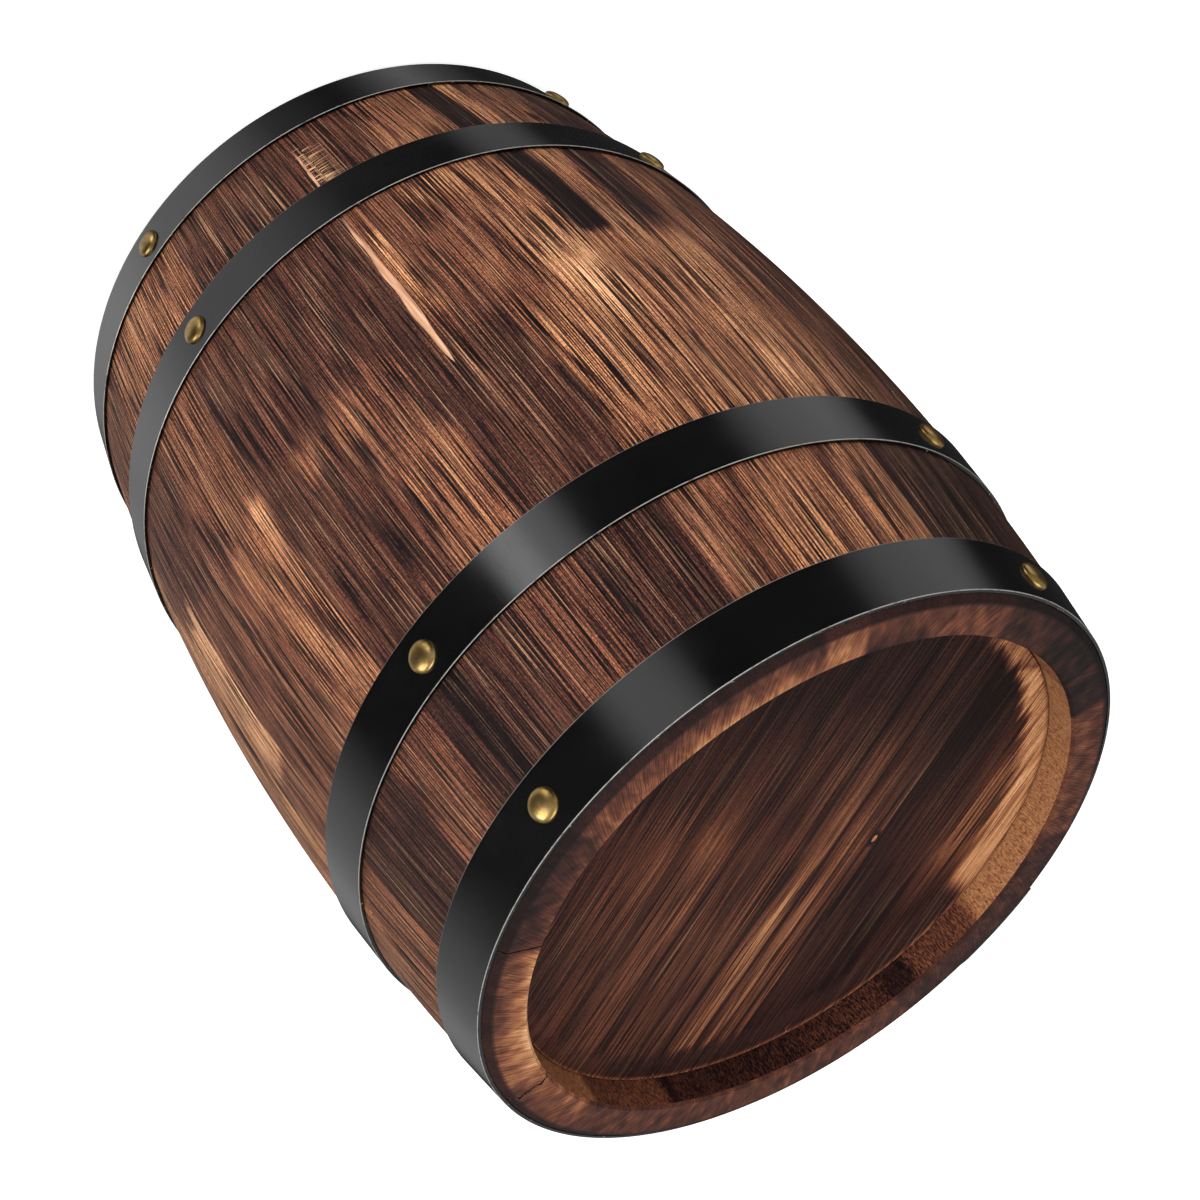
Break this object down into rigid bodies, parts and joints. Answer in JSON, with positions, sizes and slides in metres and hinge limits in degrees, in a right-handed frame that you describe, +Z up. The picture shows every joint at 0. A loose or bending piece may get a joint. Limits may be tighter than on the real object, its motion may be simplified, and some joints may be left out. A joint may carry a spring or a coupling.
{
  "type": "oak barrel",
  "caption": "Small coopered oak barrel with bulged staves, dished heads in a croze, black strip hoops held by domed brass nails, a tapered bung and a tap hole.",
  "frame": {"origin": "centre of the end that the barrel stands on, at floor level", "axes": "+Z up along the barrel's axis towards the pictured head, +Y out through the bung"},
  "size_m": [0.258, 0.2624, 0.32],
  "materials": {
    "stave_oak": "brushed and dark stained",
    "head_oak": "dark stained, turned",
    "dowel_wood": "bare",
    "bung_wood": "oiled, turned",
    "hoop_steel": "gloss black paint",
    "brass_nails": "antiqued"
  },
  "bodies": {
    "barrel": {"bottom_head_board_1": "head_oak", "bottom_head_board_2": "head_oak", "bottom_head_board_3": "head_oak", "bottom_head_board_4": "head_oak", "bottom_head_dowels": "dowel_wood", "bottom_head_hoop": "hoop_steel", "bottom_head_hoop_nails": "brass_nails", "bottom_quarter_hoop": "hoop_steel", "bottom_quarter_hoop_nails": "brass_nails", "bung_stave": "stave_oak", "lap_rivets": "hoop_steel", "stave_01": "stave_oak", "stave_02": "stave_oak", "stave_03": "stave_oak", "stave_04": "stave_oak", "stave_05": "stave_oak", "stave_07": "stave_oak", "stave_08": "stave_oak", "stave_09": "stave_oak", "stave_10": "stave_oak", "stave_11": "stave_oak", "stave_12": "stave_oak", "stave_13": "stave_oak", "stave_14": "stave_oak", "stave_15": "stave_oak", "stave_16": "stave_oak", "stave_17": "stave_oak", "stave_18": "stave_oak", "stave_19": "stave_oak", "stave_20": "stave_oak", "top_head_board_1": "head_oak", "top_head_board_2": "head_oak", "top_head_board_3": "head_oak", "top_head_board_4": "head_oak", "top_head_dowels": "dowel_wood", "top_head_hoop": "hoop_steel", "top_head_hoop_nails": "brass_nails", "top_quarter_hoop": "hoop_steel", "top_quarter_hoop_nails": "brass_nails"},
    "stopper": {"bung": "bung_wood"}
  },
  "joints": [
    {"name": "bung_pull", "type": "slide", "parent": "barrel", "child": "stopper", "axis": [0, 1, 0], "range_m": [0, 0.06]}
  ]
}
